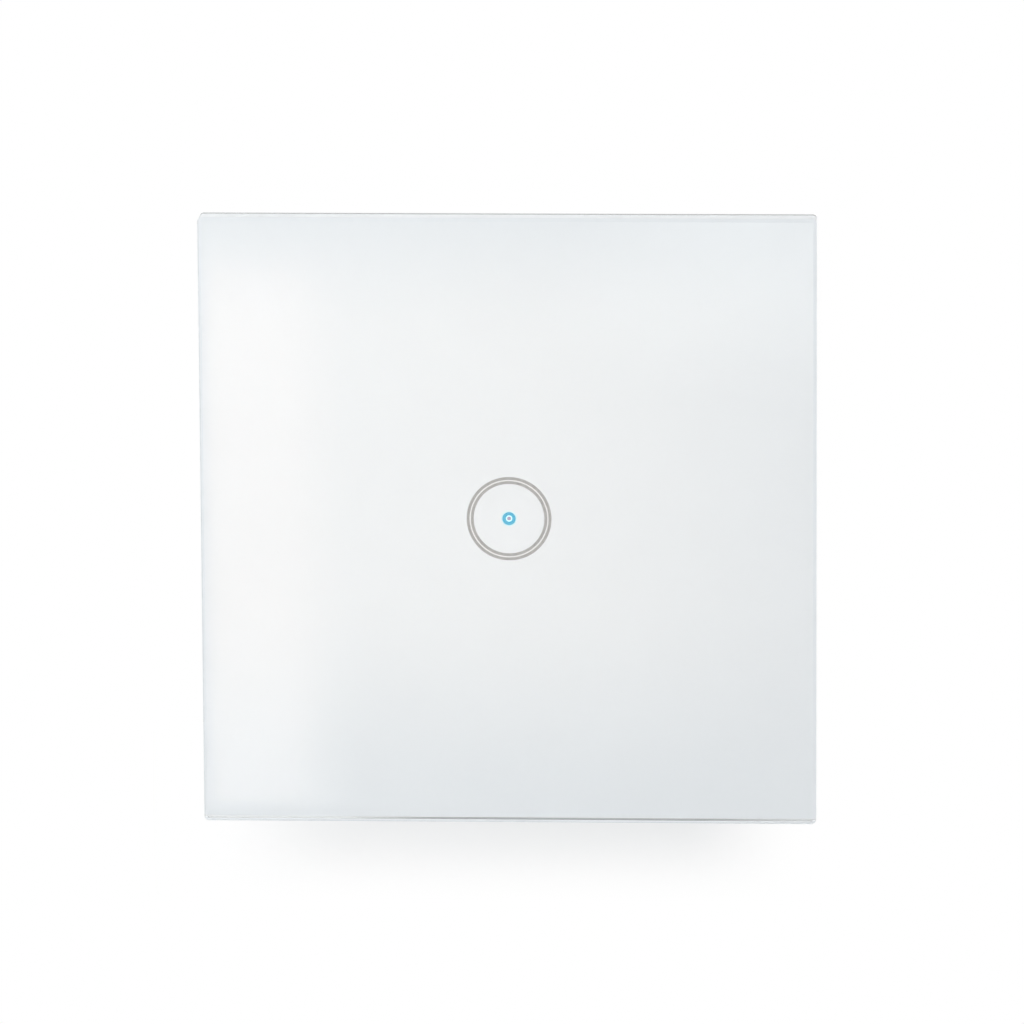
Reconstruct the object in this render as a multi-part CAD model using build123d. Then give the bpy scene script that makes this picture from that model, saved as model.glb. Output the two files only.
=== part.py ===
from build123d import *
import os

# Touch light switch for one circuit, for a square wall box with screws 60 mm apart.
# All lengths are in millimetres. X runs to the right, Z runs up, and Y runs from the room into the wall.
# The origin is the middle of the mounting plate's back face, which lies on the wall at Y = 0.

# Glass panel and what is printed on its back
panel_overlap = 5.0
glass_thickness = 4.0
glass_corner_radius = 0.6
glass_bevel = 0.45
glass_rear_bevel = 0.15
print_inset = 0.2
print_thickness = 0.1
ring_outer_radius = 5.52
ring_line_width = 0.37
ring_line_space = 0.17
indicator_window_radius = 0.87

# Plastic frame that carries the glass
adhesive_thickness = 0.2
adhesive_width = 4.6
adhesive_inset = 0.6
frame_inset = 1.0
frame_corner_radius = 1.2
frame_wall = 1.6
frame_web_width = 6.0
frame_web_thickness = 1.2
frame_wall_gap = 0.4
snap_spacing = 32.0
snap_width = 8.0
snap_arm_thickness = 1.2
snap_arm_gap = 1.0
snap_nose_length = 0.9
snap_catch = 0.3
snap_plate_gap = 0.7
pry_notch_width = 12.0
pry_notch_height = 1.6

# Front cover of the module
cover_overhang = 1.5
cover_corner_radius = 3.0
cover_wall = 1.4
cover_front_wall = 1.2
cover_edge_chamfer = 0.4
cover_spring_gap = 0.6
cover_pad_height = 0.2
cover_pad_radius = 1.2
cover_pad_inset = 4.4
cover_post_radius = 3.2
recess_depth = 0.9
recess_margin = 0.3
panel_to_cover_gap = 0.4

# Screws that hold cover, plate and housing together
case_screw_radius = 1.3
case_screw_length = 9.0
case_screw_head_radius = 2.3
case_screw_head_height = 1.5
case_screw_head_sink = 0.3
screw_hole_gap = 0.2
thread_gap = 0.05
drive_slot_width = 0.7
drive_slot_depth = 0.8

# Touch board and what it carries
touch_board_edge_gap = 1.1
touch_board_thickness = 1.2
touch_board_post_gap = 0.3
touch_board_to_plate = 0.9
led_side = 1.6
led_height = 0.7
guide_flange_radius = 3.5
guide_flange_height = 1.0
guide_stem_radius = 1.7
guide_pocket_radius = 1.3
guide_led_gap = 0.2
guide_tip_gap = 0.1
spring_wire_radius = 0.2
spring_mean_radius = 5.2
spring_turns = 1.5
spring_tip_gap = 0.1
touch_chip_length = 4.9
touch_chip_width = 3.9
touch_chip_height = 1.2
touch_chip_header_gap = 0.55
small_part_length = 1.6
small_part_width = 0.8
small_part_height = 0.6
small_part_pitch = 2.6
small_part_count = 5
small_part_chip_gap = 1.25

# Mounting plate
box_screw_spacing = 60.0
box_slot_width = 4.0
box_slot_length = 7.0
plate_thickness = 1.0
plate_edge_margin = 5.0
plate_corner_radius = 4.0
plate_opening_radius = 21.0
bead_length = 12.0
bead_width = 3.0
bead_height = 0.5
bead_wall = 0.7
bead_place = 19.0

# Rear housing
housing_wall = 1.5
housing_rear_wall = 1.5
housing_rear_gap = 2.4
housing_corner_cut = 6.15
housing_edge_radius = 0.8
housing_boss_radius = 2.6
housing_boss_inset = 3.33
boss_hole_extra = 2.0
board_post_radius = 2.2
board_post_side_inset = 5.0
board_post_gap = 1.3
board_ledge_width = 4.0
board_ledge_reach = 2.0
board_ledge_place = 8.0
well_wall = 1.3
vent_count = 5
vent_pitch = 3.0
vent_width = 1.2
vent_length = 14.0
vent_rise = 8.0

# Insulation sheet
sheet_thickness = 0.4
sheet_inset = 0.1
sheet_rebate_width = 0.8
sheet_edge_gap = 0.1
sheet_hole_gap = 0.3

# Power board and its screws
power_board_thickness = 1.6
power_board_front_gap = 2.5
power_board_edge_gap = 0.3
board_screw_radius = 1.0
board_screw_length = 6.0
board_screw_head_radius = 1.9
board_screw_head_height = 1.2
pin_radius = 0.4
pin_overhang = 1.0
pin_hole_gap = 0.15

# Header that joins the boards
header_pin_count = 6
header_pitch = 2.0
header_pin_width = 0.5
header_depth = 2.2
header_height = 1.3
header_end = 0.9
header_drop = 11.6
header_mate_gap = 0.1
socket_margin = 0.4
socket_pin_gap = 0.1
socket_floor = 0.6

# Terminal block
pole_count = 3
pole_wall = 1.22
block_top_wall = 0.5
block_back_wall = 1.2
block_face_inset = 0.2
block_gap = 0.3
block_floor = 1.1
block_front_wall = 1.6
block_edge_chamfer = 0.4
entry_lead_width = 0.4
entry_lead_depth = 0.5
cage_width = 6.2
cage_depth = 5.0
cage_wall = 0.8
cage_top = 1.0
cage_gap = 0.1
cage_travel = 3.0
wire_space = 4.6
tab_thickness = 1.0
tab_gap = 0.1
tab_side_gap = 0.1
tab_front_gap = 0.3
tab_back_place = 1.5
tab_pin_width = 1.1
tab_pin_overhang = 1.0
clamp_screw_radius = 1.5
clamp_screw_gap = 0.15
clamp_head_radius = 2.3
clamp_head_height = 1.8
clamp_head_gap = 0.15
clamp_ledge = 0.5
clamp_top_clearance = 0.4
clamp_lip = 0.3

# Relay
relay_width = 15.5
relay_wall = 0.8
relay_top_gap = 1.3
relay_side_gap = 1.5
relay_boss_gap = 0.7
relay_fit_gap = 0.1
relay_base_height = 2.0
relay_cover_lift = 0.3
yoke_thickness = 1.2
yoke_width = 9.0
yoke_side_gap = 0.6
core_radius = 2.0
bobbin_yoke_gap = 0.7
bobbin_contact_gap = 2.7
pole_radius = 3.0
pole_thickness = 0.6
bobbin_side = 9.4
bobbin_flange = 0.8
bobbin_wall = 0.6
bobbin_fit_gap = 0.05
coil_height = 6.0
coil_margin = 0.3
armature_thickness = 1.0
armature_width = 8.0
armature_reach = 10.0
armature_gap = 0.8
armature_hinge_gap = 0.3
blade_thickness = 0.2
blade_width = 4.0
contact_radius = 1.2
contact_height = 0.6
contact_open_gap = 1.25
contact_end = 1.0
fixed_strip_thickness = 0.6
fixed_strip_wall_gap = 0.4
relay_pin_side = 5.0

# Transformer
transformer_relay_gap = 5.3
transformer_can_gap = 1.2
transformer_rise = 1.25
core_depth = 4.7
core_leg = 1.6
core_middle_leg = 2.4
core_window_width = 2.3
core_window_height = 8.0
core_seat = 0.6
reel_wall = 0.5
reel_flange = 0.6
reel_reach = 3.0
reel_gap = 0.1
winding_core_gap = 0.2
reel_rail_width = 2.6
reel_rail_overhang = 0.1
reel_pin_pitch = 4.0

# Other parts on the power board
film_length = 12.0
film_width = 5.0
film_height = 10.0
film_boss_gap = 1.2
film_reel_gap = 2.05
film_edge_radius = 0.5
film_pin_pitch = 10.0
can_radius = 4.0
can_height = 12.0
can_side_gap = 0.6
can_gap = 1.0
can_groove_depth = 0.3
can_groove_width = 0.8
can_groove_place = 1.6
can_edge_radius = 0.4
can_pin_pitch = 3.5
varistor_radius = 4.2
varistor_thickness = 4.2
varistor_fuse_gap = 2.0
varistor_relay_gap = 1.4
varistor_edge_radius = 1.2
varistor_pin_pitch = 5.0
fuse_length = 8.4
fuse_width = 4.0
fuse_height = 7.6
fuse_side_gap = 2.4
fuse_relay_gap = 1.2
fuse_edge_radius = 0.4
fuse_pin_pitch = 5.0
rectifier_length = 4.7
rectifier_width = 3.9
rectifier_height = 1.5
rectifier_x = 9.0
rectifier_z = -3.0
power_chip_length = 4.9
power_chip_width = 3.9
power_chip_height = 1.5
power_chip_x = -6.0
power_chip_z = 3.0

# One overrun serves all cuts
overrun = 1.0

# Depths along Y, from the wall out to the room
plate_front = -plate_thickness
touch_board_rear = plate_front - touch_board_to_plate
touch_board_front = touch_board_rear - touch_board_thickness
cover_inside = touch_board_front - cover_pad_height
cover_front = cover_inside - cover_front_wall
print_rear = cover_front - panel_to_cover_gap
glass_rear = print_rear - print_thickness
glass_front = glass_rear - glass_thickness
adhesive_rear = print_rear + adhesive_thickness
web_rear = adhesive_rear + frame_web_thickness
header_rear = touch_board_rear + header_height
socket_front = header_rear + header_mate_gap

# Depths along Y, from the wall back into the box
sheet_rear = sheet_inset + sheet_thickness
power_board_front = sheet_rear + power_board_front_gap
power_board_rear = power_board_front + power_board_thickness

# Depths in the terminal block, from the board back
cage_floor_front = power_board_rear + block_floor + cage_gap
wire_front = cage_floor_front + cage_wall
tab_front = wire_front + wire_space
tab_rear = tab_front + tab_thickness
cage_top_front = tab_rear + tab_gap
cage_rear = cage_top_front + cage_top
channel_rear = cage_rear + cage_travel + clamp_top_clearance
clamp_head_front = channel_rear + clamp_ledge + clamp_head_gap
clamp_head_rear = clamp_head_front + clamp_head_height
block_rear = clamp_head_rear + clamp_head_gap + block_top_wall

# Depths in the relay, from the board back
relay_floor = power_board_rear + relay_base_height
bobbin_front = relay_floor + yoke_thickness
bobbin_rear = bobbin_front + 2 * bobbin_flange + coil_height
pole_rear = bobbin_rear + pole_thickness
armature_front = pole_rear + armature_gap
armature_rear = armature_front + armature_thickness
yoke_rear = armature_front - armature_hinge_gap
moving_contact_front = armature_rear - contact_height
fixed_contact_rear = moving_contact_front - contact_open_gap
relay_rear = armature_rear + blade_thickness + relay_top_gap + relay_wall

# Depths in the transformer, from the board back
core_front = power_board_rear + core_seat
window_front = core_front + core_leg
window_rear = window_front + core_window_height
core_rear = window_rear + core_leg

# The housing is as deep as its tallest part asks
tallest_part = max(block_rear, relay_rear, core_rear, power_board_rear + max(can_height, film_height))
housing_floor = tallest_part + housing_rear_gap
housing_depth = housing_floor + housing_rear_wall

# Lengths along X in the relay, from its left side
bobbin_radius = bobbin_side / 2
core_from_hinge = yoke_thickness / 2 + bobbin_yoke_gap + bobbin_radius
hinge_from_side = relay_wall + yoke_side_gap + yoke_thickness / 2
contact_from_side = hinge_from_side + core_from_hinge + bobbin_radius + bobbin_contact_gap + contact_radius
relay_length = contact_from_side + contact_radius + fixed_strip_wall_gap + relay_wall

# Widths in the transformer, from the middle leg out
core_width = core_middle_leg + 2 * core_window_width + 2 * core_leg
winding_thickness = core_window_width - reel_gap - reel_wall - winding_core_gap
reel_rail_length = core_width + 2 * reel_rail_overhang

# The housing is as wide as relay, transformer and smoothing capacitors side by side
inner_width = (relay_side_gap + relay_length + transformer_relay_gap + reel_rail_length
               + transformer_can_gap + 2 * can_radius + can_side_gap)
housing_side = inner_width + 2 * housing_wall
housing_diameter = housing_side * 2 ** 0.5 - 2 * housing_corner_cut
cover_side = housing_side + 2 * cover_overhang
touch_board_side = cover_side - 2 * cover_wall - 2 * touch_board_edge_gap
plate_side = box_screw_spacing + 2 * plate_edge_margin
panel_side = plate_side + 2 * panel_overlap

# Places of the screws
case_screw_place = (housing_diameter / 2 - housing_boss_inset) / 2 ** 0.5
case_screw_places = [(x * case_screw_place, z * case_screw_place) for x in (-1, 1) for z in (-1, 1)]
case_screw_seat = cover_front + case_screw_head_sink + case_screw_head_height
board_post_x = housing_side / 2 - board_post_side_inset
can_spacing = 2 * can_radius + can_gap
board_post_z = -(can_spacing / 2 + can_radius + board_post_gap + board_post_radius)
board_post_places = [(-board_post_x, board_post_z), (board_post_x, board_post_z)]

# Places on the power board
relay_x = (relay_length - inner_width) / 2 + relay_side_gap
relay_z = case_screw_place - housing_boss_radius - relay_boss_gap - relay_width / 2
hinge_x = relay_x - relay_length / 2 + hinge_from_side
core_x = hinge_x + core_from_hinge
contact_x = relay_x - relay_length / 2 + contact_from_side
fixed_strip_x = contact_x + contact_radius - fixed_strip_thickness / 2
can_x = inner_width / 2 - can_side_gap - can_radius
transformer_x = can_x - can_radius - transformer_can_gap - reel_rail_length / 2
transformer_z = relay_z + transformer_rise
film_x = case_screw_place - housing_boss_radius - film_boss_gap - film_length / 2
film_z = transformer_z + core_depth / 2 + reel_reach + film_reel_gap + film_width / 2
fuse_x = fuse_side_gap + (fuse_length - inner_width) / 2
fuse_z = relay_z - (relay_width + fuse_width) / 2 - fuse_relay_gap
varistor_x = fuse_x + fuse_length / 2 + varistor_fuse_gap + varistor_radius
varistor_z = relay_z - (relay_width + varistor_thickness) / 2 - varistor_relay_gap

# Places on the touch board
touch_chip_drop = header_drop - (header_depth + touch_chip_width) / 2 - touch_chip_header_gap
small_part_drop = touch_chip_drop - (touch_chip_width + small_part_length) / 2 - small_part_chip_gap

# Places in the terminal block. It opens at its face, and its screws' axes lie at the pole's Z.
pole_pitch = cage_width + 2 * cage_gap + pole_wall
block_width = pole_count * pole_pitch + pole_wall
block_face = block_face_inset - housing_side / 2
pole_z = block_face + block_front_wall + cage_gap + cage_depth / 2
tab_leg_z = pole_z + cage_depth / 2 + cage_gap + tab_back_place
block_depth = tab_leg_z + tab_thickness / 2 + block_back_wall - block_face

# The well in the housing round the terminal block
well_front = power_board_rear - block_gap
well_wall_front = power_board_rear + block_gap
well_top = block_face + block_depth + block_gap


def block(x, y, z):
    """A box between two places along each axis."""
    sides = (x, y, z)
    middle = [(low + high) / 2 for low, high in sides]
    return Pos(*middle) * Box(*[high - low for low, high in sides])


def about(middle, width):
    """The two ends of a width that lies evenly about a place."""
    return middle - width / 2, middle + width / 2


def rod(radius, y, x=0, z=0):
    """A round bar along Y between two depths."""
    return Pos(x, (y[0] + y[1]) / 2, z) * Rot(90, 0, 0) * Cylinder(radius, y[1] - y[0])


def sheet(outline, y):
    """An outline, drawn as the room sees it, made solid between two depths."""
    rear = Plane(origin=(0, y[1], 0), x_dir=(1, 0, 0), z_dir=(0, -1, 0))
    return extrude(rear * outline, y[1] - y[0])


def square(side, radius):
    return RectangleRounded(side, side, radius)


def box_outline(shrink):
    """The housing's outline, a square with its corners cut by a circle, drawn in by a margin."""
    return Rectangle(housing_side - 2 * shrink, housing_side - 2 * shrink) & Circle(housing_diameter / 2 - shrink)


def dots(radius, places):
    return [Pos(x, z) * Circle(radius) for x, z in places]


# Pieces that pull off with the panel

def glass_panel():
    plate = sheet(square(panel_side, glass_corner_radius), (glass_front, glass_rear))
    largest = min(glass_corner_radius * 3 / 4, glass_thickness / 4)
    plate = chamfer(plate.faces().sort_by(Axis.Y)[0].edges(), min(glass_bevel, largest))
    return chamfer(plate.faces().sort_by(Axis.Y)[-1].edges(), min(glass_rear_bevel, largest))


def ring_lines():
    """Outlines of the two printed lines, the outer one first."""
    inner_radius = ring_outer_radius - ring_line_width - ring_line_space
    return [Circle(radius) - Circle(radius - ring_line_width) for radius in (ring_outer_radius, inner_radius)]


def white_back_print():
    outline = Rectangle(panel_side - 2 * print_inset, panel_side - 2 * print_inset)
    outline = outline - Circle(indicator_window_radius)
    for line in ring_lines():
        outline = outline - line
    return sheet(outline, (glass_rear, print_rear))


def touch_ring_print():
    return [sheet(line, (glass_rear, print_rear)) for line in ring_lines()]


def panel_adhesive():
    side = panel_side - 2 * frame_inset - 2 * adhesive_inset
    outline = Rectangle(side, side) - Rectangle(side - 2 * adhesive_width, side - 2 * adhesive_width)
    return sheet(outline, (print_rear, adhesive_rear))


def snap_arm(side, z):
    """One arm with its bridge from the web, at the left (-1) or the right (1)."""
    arm_inside = cover_side / 2 + snap_arm_gap
    arm_outside = arm_inside + snap_arm_thickness
    web_inside = panel_side / 2 - frame_inset - frame_web_width
    arm_rear = plate_front - snap_plate_gap
    width = about(z, snap_width)
    bridge = block((arm_inside, web_inside + overrun), (adhesive_rear, web_rear), width)
    arm = block((arm_inside, arm_outside), (adhesive_rear, arm_rear), width)
    nose_front = arm_rear - snap_nose_length
    nose = block((cover_side / 2 - snap_catch, arm_inside), (nose_front, arm_rear), width)
    lead_edge = nose.edges().filter_by(Axis.Z).sort_by(Axis.X)[:2].sort_by(Axis.Y)[-1]
    nose = chamfer(lead_edge, snap_nose_length / 2)
    piece = bridge + arm + nose
    return piece if side > 0 else mirror(piece, Plane.YZ)


def panel_frame():
    outside = panel_side - 2 * frame_inset
    inner_radius = max(frame_corner_radius - frame_wall, frame_corner_radius / 4)
    rim = square(outside, frame_corner_radius) - square(outside - 2 * frame_wall, inner_radius)
    opening = outside - 2 * frame_web_width
    web = square(outside, frame_corner_radius) - Rectangle(opening, opening)
    frame = sheet(rim, (adhesive_rear, -frame_wall_gap)) + sheet(web, (adhesive_rear, web_rear))
    for side in (-1, 1):
        for z in about(0, snap_spacing):
            frame = frame + snap_arm(side, z)
    notch_depth = (-frame_wall_gap - pry_notch_height, -frame_wall_gap + overrun)
    notch_z = (-outside / 2 - overrun, -outside / 2 + frame_wall + overrun)
    return frame - block(about(0, pry_notch_width), notch_depth, notch_z)


# Pieces of the module in front of the plate

def front_cover():
    shell = sheet(square(cover_side, cover_corner_radius), (cover_front, plate_front))
    shell = chamfer(shell.faces().sort_by(Axis.Y)[0].edges(), cover_edge_chamfer)
    inner_radius = max(cover_corner_radius - cover_wall, cover_corner_radius / 4)
    shell = shell - sheet(square(cover_side - 2 * cover_wall, inner_radius), (cover_inside, plate_front + overrun))
    pad_place = touch_board_side / 2 - cover_pad_inset
    for x in about(0, 2 * pad_place):
        shell = shell + rod(cover_pad_radius, (cover_inside, touch_board_front), x)
        shell = shell + rod(cover_pad_radius, (cover_inside, touch_board_front), 0, x)
    for x, z in case_screw_places:
        shell = shell + rod(cover_post_radius, (cover_inside, plate_front), x, z)
    for x, z in case_screw_places:
        shell = shell - rod(case_screw_radius + screw_hole_gap, (cover_front, plate_front + overrun), x, z)
        head_hole = case_screw_head_radius + screw_hole_gap
        shell = shell - rod(head_hole, (cover_front - overrun, case_screw_seat), x, z)
    touch_hole = spring_mean_radius + spring_wire_radius + cover_spring_gap
    shell = shell - rod(touch_hole, (cover_front - overrun, cover_inside + overrun))
    for side in (-1, 1):
        for z in about(0, snap_spacing):
            shell = shell - catch_recess(side, z)
    return shell


def catch_recess(side, z):
    """The hollow in the cover's side wall that a snap arm's nose springs into."""
    nose_front = plate_front - snap_plate_gap - snap_nose_length
    x = (cover_side / 2 - recess_depth, cover_side / 2 + overrun)
    hollow = block(x, (nose_front - recess_margin, plate_front + overrun), about(z, snap_width + 2 * recess_margin))
    return hollow if side > 0 else mirror(hollow, Plane.YZ)


def screw(seat, length, radius, head_radius, head_height, x, z):
    """A screw driven from the room, with its head in front of its seat."""
    body = rod(radius, (seat, seat + length), x, z) + rod(head_radius, (seat - head_height, seat), x, z)
    body = chamfer(body.faces().sort_by(Axis.Y)[-1].edges(), radius / 3)
    slot_y = (seat - head_height - overrun, seat - head_height + min(drive_slot_depth, head_height / 2))
    across = about(x, 3 * radius), about(z, 3 * radius)
    body = body - block(across[0], slot_y, about(z, drive_slot_width))
    return body - block(about(x, drive_slot_width), slot_y, across[1])


def case_screws():
    sizes = (case_screw_length, case_screw_radius, case_screw_head_radius, case_screw_head_height)
    return [screw(case_screw_seat, *sizes, x, z) for x, z in case_screw_places]


def touch_board():
    outline = Rectangle(touch_board_side, touch_board_side)
    for hole in dots(cover_post_radius + touch_board_post_gap, case_screw_places):
        outline = outline - hole
    return sheet(outline, (touch_board_front, touch_board_rear))


def indicator_led():
    body = block(about(0, led_side), (touch_board_front - led_height, touch_board_front), about(0, led_side))
    return chamfer(body.faces().sort_by(Axis.Y)[0].edges(), led_side / 8)


def light_guide():
    flange_front = touch_board_front - guide_flange_height
    body = rod(guide_flange_radius, (flange_front, touch_board_front))
    body = body + rod(guide_stem_radius, (print_rear + guide_tip_gap, flange_front))
    pocket_front = touch_board_front - led_height - guide_led_gap
    return body - rod(guide_pocket_radius, (pocket_front, touch_board_front + overrun))


def touch_spring():
    """Bare wire, wound in an open coil from the touch board to just behind the glass."""
    start = touch_board_front - spring_wire_radius
    end = print_rear + spring_tip_gap + spring_wire_radius
    height = start - end
    path = Helix(height / spring_turns, height, spring_mean_radius, center=(0, start, 0), direction=(0, -1, 0))
    section = Plane(origin=path @ 0, z_dir=path % 0) * Circle(spring_wire_radius)
    return sweep(section, path, is_frenet=True)


def touch_chip():
    z = about(-touch_chip_drop, touch_chip_width)
    return block(about(0, touch_chip_length), (touch_board_rear, touch_board_rear + touch_chip_height), z)


def touch_board_parts():
    first = -(small_part_count - 1) * small_part_pitch / 2
    y = (touch_board_rear, touch_board_rear + small_part_height)
    row = []
    for index in range(small_part_count):
        x = about(first + index * small_part_pitch, small_part_width)
        row.append(block(x, y, about(-small_part_drop, small_part_length)))
    return row


# The plate, and the header that passes through it

def mounting_plate():
    outline = square(plate_side, plate_corner_radius) - Circle(plate_opening_radius)
    for hole in dots(case_screw_radius + screw_hole_gap, case_screw_places):
        outline = outline - hole
    for place in about(0, box_screw_spacing):
        outline = outline - Pos(place, 0) * SlotOverall(box_slot_length, box_slot_width)
        outline = outline - Pos(0, place) * SlotOverall(box_slot_length, box_slot_width, 90)
    plate = sheet(outline, (plate_front, 0))
    for across in about(0, cover_side / 2 + plate_side / 2):
        for along in about(0, 2 * bead_place):
            for x, z, turn in ((along, across, 0), (across, along, 90)):
                proud = Pos(x, z) * SlotOverall(bead_length, bead_width, turn)
                sunk = Pos(x, z) * SlotOverall(bead_length - 2 * bead_wall, bead_width - 2 * bead_wall, turn)
                plate = plate + sheet(proud, (plate_front - bead_height, plate_front))
                plate = plate - sheet(sunk, (-bead_height, overrun))
    return plate


def header_places():
    first = -(header_pin_count - 1) * header_pitch / 2
    return [first + index * header_pitch for index in range(header_pin_count)]


def header_length():
    return (header_pin_count - 1) * header_pitch + 2 * header_end


def header_pin(x, grow, y):
    width = header_pin_width + 2 * grow
    return block(about(x, width), y, about(-header_drop, width))


def header_body():
    body = block(about(0, header_length()), (touch_board_rear, header_rear), about(-header_drop, header_depth))
    for x in header_places():
        body = body - header_pin(x, 0, (touch_board_rear - overrun, header_rear + overrun))
    return body


def header_pins():
    return [header_pin(x, 0, (touch_board_rear, power_board_front - socket_floor)) for x in header_places()]


def header_socket():
    length = header_length() + 2 * socket_margin
    depth = header_depth + 2 * socket_margin
    body = block(about(0, length), (socket_front, power_board_front), about(-header_drop, depth))
    for x in header_places():
        hole_rear = power_board_front - socket_floor + socket_pin_gap
        body = body - header_pin(x, socket_pin_gap, (socket_front - overrun, hole_rear))
    return body


# Pieces behind the plate

def insulation_sheet():
    outline = box_outline(housing_wall - sheet_rebate_width + sheet_edge_gap)
    for hole in dots(housing_boss_radius + sheet_hole_gap, case_screw_places):
        outline = outline - hole
    length = header_length() + 2 * socket_margin + 2 * sheet_hole_gap
    depth = header_depth + 2 * socket_margin + 2 * sheet_hole_gap
    outline = outline - Pos(0, -header_drop) * Rectangle(length, depth)
    body = sheet(outline, (sheet_inset, sheet_rear))
    return body.solids().sort_by(SortBy.VOLUME)[-1]


def rear_housing():
    whole = sheet(box_outline(0), (0, housing_depth))
    whole = fillet(whole.faces().sort_by(Axis.Y)[-1].edges(), housing_edge_radius)
    shell = whole - sheet(box_outline(housing_wall), (-overrun, housing_floor))
    inside = sheet(box_outline(housing_wall / 2), (0, housing_depth - housing_rear_wall / 2))
    for x, z in case_screw_places:
        shell = shell + (rod(housing_boss_radius, (0, housing_floor), x, z) & inside)
    for x, z in board_post_places:
        shell = shell + rod(board_post_radius, (power_board_rear, housing_floor), x, z)
    ledge = (inner_width / 2 - board_ledge_reach, inner_width / 2)
    ledge_rise = (can_spacing / 2 + can_radius + case_screw_place - housing_boss_radius) / 2
    ledge_depths = (power_board_rear, housing_floor)
    shell = shell + block(about(-board_ledge_place, board_ledge_width), ledge_depths, ledge)
    shell = shell + block(ledge, ledge_depths, about(ledge_rise, board_ledge_width))
    well_x = about(0, block_width + 2 * block_gap)
    wall_x = about(0, block_width + 2 * block_gap + 2 * well_wall)
    low_end = -housing_side / 2 - overrun
    well = block(wall_x, (well_wall_front, housing_depth), (low_end, well_top + well_wall)) & whole
    shell = shell + well - block(well_x, (well_front, housing_depth + overrun), (low_end, well_top))
    rebate = sheet(box_outline(housing_wall - sheet_rebate_width), (-overrun, sheet_rear))
    for x, z in case_screw_places:
        rebate = rebate - rod(housing_boss_radius, (-overrun, sheet_rear), x, z)
    shell = shell - rebate
    for x, z in case_screw_places:
        hole_end = case_screw_seat + case_screw_length + boss_hole_extra
        shell = shell - rod(case_screw_radius + thread_gap, (-overrun, hole_end), x, z)
    for x, z in board_post_places:
        hole_end = power_board_front + board_screw_length + boss_hole_extra
        shell = shell - rod(board_screw_radius + thread_gap, (power_board_rear - overrun, hole_end), x, z)
    first = -(vent_count - 1) * vent_pitch / 2
    for index in range(vent_count):
        vent = Pos(first + index * vent_pitch, vent_rise) * SlotOverall(vent_length, vent_width, 90)
        shell = shell - sheet(vent, (housing_floor - overrun, housing_depth + overrun))
    return shell


def board_screws():
    sizes = (board_screw_length, board_screw_radius, board_screw_head_radius, board_screw_head_height)
    return [screw(power_board_front, *sizes, x, z) for x, z in board_post_places]


def component_pin_places():
    """Where the leads of the parts on the power board go through it."""
    places = [(hinge_x, relay_z), (fixed_strip_x, relay_z)]
    places += [(hinge_x, relay_z + side) for side in about(0, 2 * relay_pin_side)]
    rail_z = core_depth / 2 + reel_gap + reel_rail_width / 2
    for x in (-reel_pin_pitch, 0, reel_pin_pitch):
        places += [(transformer_x + x, transformer_z + z) for z in (-rail_z, rail_z)]
    places += [(x, film_z) for x in about(film_x, film_pin_pitch)]
    places += [(can_x, z + lead) for z in about(0, can_spacing) for lead in about(0, can_pin_pitch)]
    places += [(x, varistor_z) for x in about(varistor_x, varistor_pin_pitch)]
    places += [(x, fuse_z) for x in about(fuse_x, fuse_pin_pitch)]
    return places


def power_board():
    outline = box_outline(housing_wall + power_board_edge_gap)
    for hole in dots(housing_boss_radius + power_board_edge_gap, case_screw_places):
        outline = outline - hole
    for hole in dots(board_screw_radius + screw_hole_gap, board_post_places):
        outline = outline - hole
    for hole in dots(pin_radius + pin_hole_gap, component_pin_places()):
        outline = outline - hole
    hole_side = tab_pin_width + 2 * pin_hole_gap
    for x in pole_places():
        outline = outline - Pos(x, tab_leg_z) * Rectangle(hole_side, hole_side)
    body = sheet(outline, (power_board_front, power_board_rear))
    return body.solids().sort_by(SortBy.VOLUME)[-1]


def component_pins():
    y = (power_board_front - pin_overhang, power_board_rear)
    return [rod(pin_radius, y, x, z) for x, z in component_pin_places()]


# Terminal block. Heights in it are measured back from the power board.

def pole_places():
    first = -(pole_count - 1) * pole_pitch / 2
    return [first + index * pole_pitch for index in range(pole_count)]


def terminal_cage(x):
    """A loop of brass that the screw lifts to clamp the wire against the tab."""
    z = about(pole_z, cage_depth)
    body = block(about(x, cage_width), (cage_floor_front, cage_rear), z)
    body = fillet(body.edges().filter_by(Axis.Z), cage_wall / 2)
    past = (z[0] - overrun, z[1] + overrun)
    body = body - block(about(x, cage_width - 2 * cage_wall), (wire_front, cage_top_front), past)
    return body - rod(clamp_screw_radius + clamp_screw_gap, (tab_rear, cage_rear + overrun), x, pole_z)


def terminal_screw(x):
    z = pole_z
    body = rod(clamp_screw_radius, (tab_rear + tab_gap, clamp_head_front), x, z)
    body = body + rod(clamp_head_radius, (clamp_head_front, clamp_head_rear), x, z)
    slot_y = (clamp_head_rear - drive_slot_depth, clamp_head_rear + overrun)
    return body - block(about(x, 2 * clamp_head_radius + overrun), slot_y, about(z, drive_slot_width))


def terminal_tab(x, grow):
    """The fixed bar in the cage with its leg down to the board, thickened all round for a cut."""
    width = cage_width - 2 * cage_wall - 2 * tab_side_gap + 2 * grow
    leg_z = about(tab_leg_z, tab_thickness + 2 * grow)
    bar_z = (pole_z - cage_depth / 2 + tab_front_gap, leg_z[1])
    bar = block(about(x, width), (tab_front - grow, tab_rear + grow), bar_z)
    return bar + block(about(x, width), (power_board_rear - grow, tab_rear + grow), leg_z)


def terminal_tabs():
    tabs = []
    for x in pole_places():
        pin_y = (power_board_front - tab_pin_overhang, power_board_rear)
        pin = block(about(x, tab_pin_width), pin_y, about(tab_leg_z, tab_thickness))
        tabs.append(terminal_tab(x, 0) + pin)
    return tabs


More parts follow.
